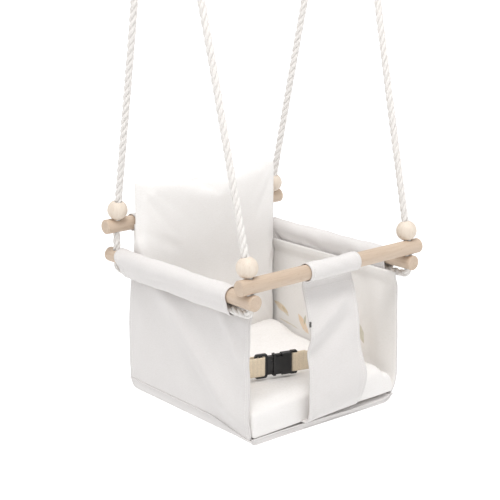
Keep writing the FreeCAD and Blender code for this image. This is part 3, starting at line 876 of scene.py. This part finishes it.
def belt_round(first, first_radius, second, second_radius, count):
    """Even points of a loop stretched round two circles in a plane."""
    turn = np.linspace(0, 2 * math.pi, 720, endpoint=False)
    away = np.stack([np.cos(turn), np.sin(turn)], axis=-1)
    first, second = np.array(first, float), np.array(second, float)
    reach = [away @ c + r for c, r in ((first, first_radius), (second, second_radius))]
    on_first = (reach[0] >= reach[1])[:, None]
    loop = closed(np.where(on_first, first + away * first_radius, second + away * second_radius))
    along = distance_along(loop)
    at = np.linspace(0, along[-1], count, endpoint=False)
    return np.stack([np.interp(at, along, loop[:, k]) for k in (0, 1)], axis=-1)


def side_sleeve_face(side, u, grow=0.0):
    """Outer face of a side sleeve, at shares u of the way to the rear."""
    loop = belt_round((HALF, SIDE_DOWEL_HEIGHT), DOWEL_RADIUS + 3 + grow,
                      (HALF - 1.5, ROPE_RUN_HEIGHT), ROPE_DIAMETER / 2 + 4 + grow, 72)
    x, z = loop[:, 0], loop[:, 1]
    rear = 150 + 22 * smooth_step(z, 212, 262)
    y = SIDE_SLEEVE_FRONT + (rear - SIDE_SLEEVE_FRONT) * u[:, None]
    angle = np.arctan2(z - 240, x - HALF)
    wobble = 0.8 * np.sin(y / 23 + 2 * angle) * np.sin(angle * 3 + side) + 0.35 * np.sin(y / 9 + angle * 4)
    gathers = 1.1 * np.sin(y / 3.4 + 1.5 * np.sin(angle * 2)) * smooth_step(u[:, None], 0.86, 0.95)
    wobble += gathers * smooth_step(-np.sin(angle), -0.6, 0.5)
    ends = bump_at(u[:, None], 0, 0.03) + bump_at(u[:, None], 1, 0.03)
    out = np.stack([np.cos(angle), np.sin(angle)], axis=-1)
    push = (wobble * (1 - 0.6 * ends) + 0.5 * (ends > 0.4))[..., None]
    flat = loop[None] + out[None] * push
    return joined(side * flat[..., 0], y, flat[..., 1])


def add_side_sleeve(side_name):
    side = SIDES[side_name]
    points = side_sleeve_face(side, np.linspace(0, 1, 110))
    piece = cloth("sleeve_cloth_" + side_name, [CANVAS], sheet_parts(points, 1.6, wrap=True))
    finished(piece, "seat", "canvas", "sleeve_" + side_name)
    loops = side_sleeve_face(side, np.array([0.022, 0.965, 0.982]), THREAD_PROUD)
    rows = [closed(loop) for loop in loops]
    finished(stitches("sleeve_stitches_" + side_name, rows, THREAD), "seat", "canvas")


ROUND_SLEEVE_HEM = 8.0


def round_sleeve_face(centre, radius, low, high, rows, seed):
    """Outer face of a sleeve sewn close round a cross dowel."""
    turn = np.linspace(0, 2 * math.pi, 48, endpoint=False)
    u = np.linspace(0, 1, rows)[:, None]
    x = low + (high - low) * u + 0 * turn
    wobble = 0.45 * np.sin(x / 14 + 2 * turn + seed) + 0.35 * np.sin(x / 6 - 3 * turn)
    hem_share = ROUND_SLEEVE_HEM / max(high - low, 1e-9)
    hem = 0.5 * ((u < hem_share) | (u > 1 - hem_share))
    r = radius + wobble * smooth_step(np.minimum(u, 1 - u), 0, 0.06) + hem
    return joined(x, centre[0] + r * np.cos(turn), centre[1] + r * np.sin(turn))


def add_round_sleeve(name, node, dowel, body, seed, slid=0.0):
    """A cloth sleeve round a cross dowel, slid a little along it."""
    low, high = box_mm(node) + np.array([slid, 0, 0])
    bar_low, bar_high = box_mm(dowel)
    centre = ((bar_low + bar_high) / 2)[1:]
    radius = (high[2] - low[2]) / 2
    points = round_sleeve_face(centre, radius, low[0], high[0], round((high[0] - low[0]) / 2.6), seed)
    piece = cloth(name, [CANVAS], sheet_parts(points, 1.4, wrap=True))
    finished(piece, body, "canvas", node)
    rows = [closed(round_sleeve_face(centre, radius + 0.75, x, x, 1, seed)[0])
            for x in (low[0] + 6, high[0] - 6)]
    finished(stitches(name + "_stitches", rows, THREAD), body, "canvas")


# ---- flap between the legs ---------------------------------------------------------------------
FLAP_LOW, FLAP_HIGH = box_mm("flap_sleeve")
# (y, z) down the flap's left and right edges, from its sleeve to under the cushion
FLAP_LEFT_EDGE = ((-176, 264), (-172, 252), (-177, 232), (-185, 205), (-190.5, 165), (-190, 118),
                  (-191.5, 72), (-192.5, 30), (-187, 14.5), (-172, 10.9), (-112, 11.2))
FLAP_RIGHT_EDGE = ((-176, 264), (-172, 252), (-181, 226), (-191, 186), (-196, 150), (-201, 118),
                   (-208.5, 82), (-204, 54), (-192, 27), (-174, 11.5), (-112, 11.2))

FLAP_FOLDS = ((7.0, (-62, 128), (38, 186), 17), (-6.0, (-60, 165), (30, 222), 13),
              (3.5, (48, 150), (52, 40), 12), (2.0, (-20, 60), (-5, 20), 14))
FLAP_HEM = 5.5                         # from the flap's edge to its row of stitches


def through(points, count):
    """A smooth line through the points, with that many points of its own."""
    p = np.array(points, float)
    p = np.concatenate([[2 * p[0] - p[1]], p, [2 * p[-1] - p[-2]]])
    t = np.linspace(0, len(points) - 1, count)
    i = np.minimum(t.astype(int), len(points) - 2)
    f = (t - i)[:, None]
    a, b, c, d = p[i], p[i + 1], p[i + 2], p[i + 3]
    return 0.5 * (2 * b + (c - a) * f + (2 * a - 5 * b + 4 * c - d) * f**2 + (3 * b - a - 3 * c + d) * f**3)


def flap_face(u, rows=120):
    """Outer face of the flap at shares u of its width, from its sleeve down and in under the cushion."""
    left, right = through(FLAP_LEFT_EDGE, rows), through(FLAP_RIGHT_EDGE, rows)
    u = np.asarray(u, float)[None, :]
    y = left[:, :1] * (1 - u) + right[:, :1] * u
    z = left[:, 1:] * (1 - u) + right[:, 1:] * u
    x_left = FLAP_LOW[0] + 1.5 * bump_at(z, 120, 70)
    x_right = FLAP_HIGH[0] + 9.5 * bump_at(z, 50, 62)
    x = x_left + (x_right - x_left) * u
    hanging = smooth_step(z, 16, 50) * (1 - smooth_step(z, 225, 262))
    belly = 4.5 * np.sin(math.pi * u) * bump_at(z, 105, 60)
    dents = folds(x, z, FLAP_FOLDS)
    hems = 0.45 * ((u < 0.07) | (u > 0.93))
    y = y - (belly + ripple(x, z, 5.0)) * hanging + dents * hanging - hems * hanging
    return joined(x, y, z)


def between_seat_and_bar(piece):
    """Bake the placing of a piece that hangs between the seat and the front bar into its mesh."""
    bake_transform(piece)


def add_flap():
    points = flap_face(np.linspace(0, 1, 64))
    piece = cloth("flap_cloth", [CANVAS], sheet_parts(points, 2.0, (0, -1, 0.3)))
    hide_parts("crotch_flap")
    between_seat_and_bar(piece)
    hem = FLAP_HEM / (FLAP_HIGH[0] - FLAP_LOW[0])
    rows = [flap_face([u])[4:100, 0] for u in (hem, 1 - hem)]
    across = flap_face(np.linspace(0.02, 0.98, 40))
    rows += [across[row] for row in (11, 17)]
    rows = [row + [0, -0.1, 0] for row in rows]
    thread = stitches("flap_stitches", rows, THREAD)
    between_seat_and_bar(thread)


def add_tag():
    """A small folded label with nothing on it, sewn into the flap's left edge."""
    low, high = box_mm("edge_tag")
    v, u = np.meshgrid(np.linspace(low[2], high[2], 8), np.linspace(0, 1, 14), indexing="ij")
    x = high[0] - (high[0] - low[0]) * np.sin(math.pi * u) ** 0.6
    y = (low[1] + high[1]) / 2 + 1.3 * np.cos(math.pi * u) + 0.2 * np.sin(v)
    piece = cloth("folded_tag", [TAG], sheet_parts(joined(x, y, v), 0.5, (-1, 0, 0)))
    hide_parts("edge_tag")
    between_seat_and_bar(piece)


# ---- cushions --------------------------------------------------------------------------------
def settled(piece, pressure, frames, cap):
    """Blow a closed cloth skin up with the cloth solver; no point moves further than cap mm."""
    scene = bpy.context.scene
    before = np.array([v.co for v in piece.data.vertices])
    modifier = piece.modifiers.new("cloth", "CLOTH")
    modifier.point_cache.frame_start = 1
    modifier.point_cache.frame_end = frames
    settings = modifier.settings
    settings.quality = 6
    settings.mass = 0.25
    settings.tension_stiffness = 25
    settings.compression_stiffness = 25
    settings.bending_stiffness = 0.8
    settings.use_pressure = True
    settings.uniform_pressure_force = pressure
    settings.effector_weights.gravity = 0
    for step in range(1, frames + 1):
        scene.frame_set(step)
    shown = piece.evaluated_get(bpy.context.evaluated_depsgraph_get())
    after = np.array([v.co for v in shown.data.vertices])
    piece.modifiers.clear()
    scene.frame_set(1)
    move = after - before
    far = np.linalg.norm(move, axis=1, keepdims=True)
    after = before + move * np.minimum(1, cap * MM / np.maximum(far, 1e-9))
    set_places(piece, after)


def set_places(piece, places):
    piece.data.vertices.foreach_set("co", places.astype(np.float32).ravel())
    piece.data.update()


def moved_points(piece, change):
    """Move a piece's points by a function of their places in seat mm."""
    points = seat_mm(np.array([v.co for v in piece.data.vertices]))
    set_places(piece, metres(change(points)))


def apply_modifiers(piece):
    mesh = bpy.data.meshes.new_from_object(piece.evaluated_get(bpy.context.evaluated_depsgraph_get()))
    piece.modifiers.clear()
    piece.data = mesh


def subdivided(piece):
    modifier = piece.modifiers.new("finer", "SUBSURF")
    modifier.levels = modifier.render_levels = 1
    apply_modifiers(piece)
    piece.data.polygons.foreach_set("use_smooth", [True] * len(piece.data.polygons))


def pillow_skin(name, width, height, cells, material):
    """Two square cloths sewn together round their edges, lying flat in the plane of x and z."""
    side = cells + 1
    at = np.linspace(-0.5, 0.5, side)
    z, x = np.meshgrid(at, at, indexing="ij")
    dome = 2.5 * (1 - (2 * x) ** 2) * (1 - (2 * z) ** 2)
    front = np.stack([x * width, -0.6 - dome, z * height], axis=-1)
    back = np.stack([x * width, 0.6 + dome, z * height], axis=-1)
    edge = (np.abs(x) > 0.4999) | (np.abs(z) > 0.4999)
    front[edge, 1] = 0
    numbers = np.arange(side * side)
    back_numbers = numbers.copy()
    inner = ~edge.ravel()
    back_numbers[inner] = side * side + np.arange(inner.sum())
    faces = grid_faces(side, side)
    faces += [tuple(int(back_numbers[i]) for i in f) for f in grid_faces(side, side)]
    points = np.concatenate([front.reshape(-1, 3), back.reshape(-1, 3)[inner]])
    return new_object(name, points, faces, material)


def fitted(points, low, high):
    """Points scaled and moved to fill a box."""
    now_low, now_high = points.min(axis=0), points.max(axis=0)
    return low + (points - now_low) / (now_high - now_low) * (high - low)


BACK_SEAM = 152.0                      # y of the back cushion's sewn edge
PILLOW_FOLDS = ((2.2, (-150, 250), (-70, 175), 11), (-2.6, (-158, 225), (-60, 160), 9),
                (2.0, (-156, 200), (-40, 150), 10), (-1.4, (-155, 305), (-95, 265), 10),
                (1.2, (-162, 350), (-120, 375), 9))


def add_back_cushion():
    low, high = box_mm("back_cushion_cover")
    piece = pillow_skin("back_pillow", high[0] - low[0], high[2] - low[2], 64, CUSHION_CANVAS)
    settled(piece, 3.2, 24, 60)

    def shape(points):
        p = points.copy()
        front = p[:, 1] < 0
        deep, shallow = -p[:, 1].min(), p[:, 1].max()
        p[:, 1] = np.where(front, p[:, 1] / deep * (BACK_SEAM - low[1]),
                           p[:, 1] / shallow * (high[1] - BACK_SEAM))
        plane = fitted(p[:, [0, 2]], np.array([low[0] - 1, low[2] - 5]), np.array([high[0], high[2] + 1]))
        x, z = plane[:, 0], plane[:, 1]
        middle, half_height = (low[2] + high[2]) / 2, (high[2] - low[2]) / 2
        waist = np.abs(x[np.abs(z - middle) < 6]).max()
        crest = (z[np.abs(x) < 6] - middle).max()
        between_corners = np.clip(1 - (x / high[0]) ** 2, 0, 1)
        between_ends = np.clip(1 - ((z - middle) / half_height) ** 2, 0, 1)
        x = x * (1 + (high[0] - 4 - waist) / waist * between_ends)
        z = middle + (z - middle) * (1 + (half_height - 7 - crest) / crest * between_corners)
        creases = folds(x, z, PILLOW_FOLDS)
        depth = smooth_step(-p[:, 1], 3, 16) * front
        x = np.maximum(x - 16.0 * bump_at(z, 250, 50) * smooth_step(-x, 90, 150), low[0] - 1)
        return joined(x, BACK_SEAM + p[:, 1] - 1.7 * creases * depth, z)

    moved_points(piece, shape)
    subdivided(piece)
    finished(piece, "back_cushion", "cushion_canvas", "back_cushion_cover", "back_cushion_fill")


PAD_FOLDS = ((1.2, (-150, 60), (-120, 20), 12), (-1.0, (60, 55), (90, 15), 14),
             (0.8, (-60, 20), (20, 25), 14))
PAD_CORNER = 44.0                      # radius of the pad's upper right edge


def add_seat_cushion():
    low, high = box_mm("seat_cushion_cover")
    shrink = 3.0
    size = high - low - 2 * shrink
    middle = (low + high) / 2
    shell = bmesh.new()
    bmesh.ops.create_cube(shell, size=1.0)
    for vertex in shell.verts:
        vertex.co = Vector(vertex.co[k] * size[k] + middle[k] for k in range(3))
    bmesh.ops.bevel(shell, geom=shell.edges[:], offset=8.0, segments=4, profile=0.5, affect="EDGES")
    points = [tuple(v.co) for v in shell.verts]
    faces = [[v.index for v in f.verts] for f in shell.faces]
    shell.free()
    piece = new_object("seat_pad", points, faces, CUSHION_CANVAS)
    remesh = piece.modifiers.new("even", "REMESH")
    remesh.mode = "VOXEL"
    remesh.voxel_size = 6 * MM
    apply_modifiers(piece)
    settled(piece, 4.0, 20, 9)

    def shape(points):
        p = fitted(points, low - [0.5, 1.5, 0], high + [0.5, 0, 2.0])
        x, y, z = p[:, 0].copy(), p[:, 1].copy(), p[:, 2].copy()
        top = smooth_step(z, 30, 58)
        z -= top * 4.0 * smooth_step(np.abs(x), 125, 170) * smooth_step(-y, -150, -60)
        z += top * 10.0 * smooth_step(y, 70, 130)
        foot = (1 - smooth_step(z, 18, 50)) * smooth_step(-y, 110, 150)
        under_flap = bump_at(x, (FLAP_LOW[0] + FLAP_HIGH[0]) / 2, 62)
        z = np.maximum(z - foot * 16.0, np.minimum(z, 9.9 + 3.0 * under_flap))
        y = np.maximum(y - foot * 9.0, low[1] - 1.5)
        near = smooth_step(-y, -70, 60)
        a, b = x - (high[0] - PAD_CORNER), z - (high[2] + 2 - PAD_CORNER)
        corner = (a > 0) & (b > 0)
        rounded = np.maximum(a, b) / np.maximum(np.hypot(a, b), 1e-6)
        factor = np.where(corner, np.minimum(1, rounded), 1.0)
        factor = 1 - (1 - factor) * near
        x = np.where(corner, high[0] - PAD_CORNER + a * factor, x)
        z = np.where(corner, high[2] + 2 - PAD_CORNER + b * factor, z)
        y -= folds(x, z, PAD_FOLDS) * smooth_step(-y, 150, 170)
        return joined(x, y, z)

    moved_points(piece, shape)
    subdivided(piece)
    finished(piece, "seat", "cushion_canvas", "seat_cushion_cover", "seat_cushion_foam")


# ---- lap belt --------------------------------------------------------------------------------
BUCKLE_CENTRE = np.array([-47.0, -93.0, 90.0])
BUCKLE_TURN = math.radians(-17.5)
WEBBING_WIDTH, WEBBING_THICKNESS = 34.0, 1.6
WRAP = 3.6                             # from a bar's middle to the strap's middle


def buckle_place(points):
    """From the buckle's own frame, x along the belt and z up, to seat mm."""
    p = np.asarray(points, float)
    c, s = math.cos(BUCKLE_TURN), math.sin(BUCKLE_TURN)
    turned = joined(p[..., 0] * c - p[..., 1] * s, p[..., 0] * s + p[..., 1] * c, p[..., 2])
    return turned + BUCKLE_CENTRE


def rounded_line(points, radii, step=1.2):
    """A line through corners, each rounded by an arc of its radius."""
    points = [np.array(p, float) for p in points]
    line = [points[0]]
    for before, corner, after, radius in zip(points, points[1:], points[2:], radii):
        back, on = unit(before - corner), unit(after - corner)
        half = math.acos(np.clip(back @ on, -1, 1)) / 2
        reach = radius / math.tan(half)
        centre = corner + unit(back + on) * radius / math.sin(half)
        first, last = corner + back * reach - centre, corner + on * reach - centre
        turn = math.pi - 2 * half
        for t in np.linspace(0, 1, max(4, round(turn * radius / 0.8))):
            weights = math.sin((1 - t) * turn), math.sin(t * turn)
            line.append(centre + (first * weights[0] + last * weights[1]) / math.sin(turn))
    line.append(points[-1])
    return resampled(line, step)


def strap_face(line, lift=0.0):
    """Outer face of a flat strap whose middle line is level."""
    run = unit(np.gradient(line, axis=0))
    side = np.cross(run, [0, 0, 1.0])
    height = np.linspace(-0.5, 0.5, 13) * WEBBING_WIDTH
    edge = 1 - 0.35 * smooth_step(np.abs(height) / WEBBING_WIDTH, 0.44, 0.5)
    out = side[:, None] * (WEBBING_THICKNESS / 2 * edge + lift)[None, :, None]
    wave = 0.35 * np.sin(np.arange(len(line)) / 17)[:, None, None]
    return line[:, None] + out + height[None, :, None] * np.array([0, 0, 1.0]) + wave * side[:, None]


def wall_point(side, y):
    return [side * (OUT - WALL - WEBBING_THICKNESS / 2 - 0.05), y, BUCKLE_CENTRE[2]]


STRAP_ANCHOR = -18.0
PLUG_WRAP, SOCKET_WRAP = -27.0, 33.5


def add_left_strap():
    turn = buckle_place([PLUG_WRAP, -WRAP, 0])
    ahead = buckle_place([PLUG_WRAP + 1, -WRAP, 0]) - turn
    bend = turn + ahead * ((wall_point(-1, 0)[0] - turn[0]) / ahead[0])
    points = [wall_point(-1, STRAP_ANCHOR), bend, buckle_place([PLUG_WRAP + WRAP, -WRAP, 0]),
              buckle_place([PLUG_WRAP + WRAP, WRAP, 0]), buckle_place([PLUG_WRAP - 45, WRAP, 0])]
    line = rounded_line(points, [12.0, WRAP - 0.1, WRAP - 0.1])
    piece = cloth("lap_strap_left", [WEBBING], sheet_parts(strap_face(line), WEBBING_THICKNESS, (0, 0, 0)))
    finished(piece, "seat", "webbing", "strap_left")
    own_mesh(piece)


def add_right_strap():
    points = [wall_point(1, STRAP_ANCHOR), wall_point(1, -56.0), buckle_place([SOCKET_WRAP + 38, -WRAP, 0]),
              buckle_place([SOCKET_WRAP - WRAP, -WRAP, 0]), buckle_place([SOCKET_WRAP - WRAP, WRAP, 0]),
              buckle_place([SOCKET_WRAP + 24, WRAP, 0])]
    line = rounded_line(points, [14.0, 40.0, WRAP - 0.1, WRAP - 0.1])
    piece = cloth("lap_strap_right", [WEBBING], sheet_parts(strap_face(line), WEBBING_THICKNESS, (0, 0, 0)))
    finished(piece, "seat", "webbing", "strap_right")


add_camera()
add_sky()
add_area_light("key", KEY_LIGHT_PLACE, metres(KEY_LIGHT_TARGET), 0.8, 30, (1.0, 0.99, 0.98))
add_floor()
finish_hard_parts()
for side_name in SIDES:
    add_rope(side_name)
    add_side_wall(side_name)
    add_side_sleeve(side_name)
add_back_wall()
add_base()
add_round_sleeve("sleeve_cloth_rear", "sleeve_rear", "dowel_rear", "seat", 1.0)
add_round_sleeve("flap_sleeve_cloth", "flap_sleeve", "dowel_front", "front_bar", 2.0, -4.0)
add_flap()
add_tag()
add_seat_cushion()
add_back_cushion()
add_left_strap()
add_right_strap()
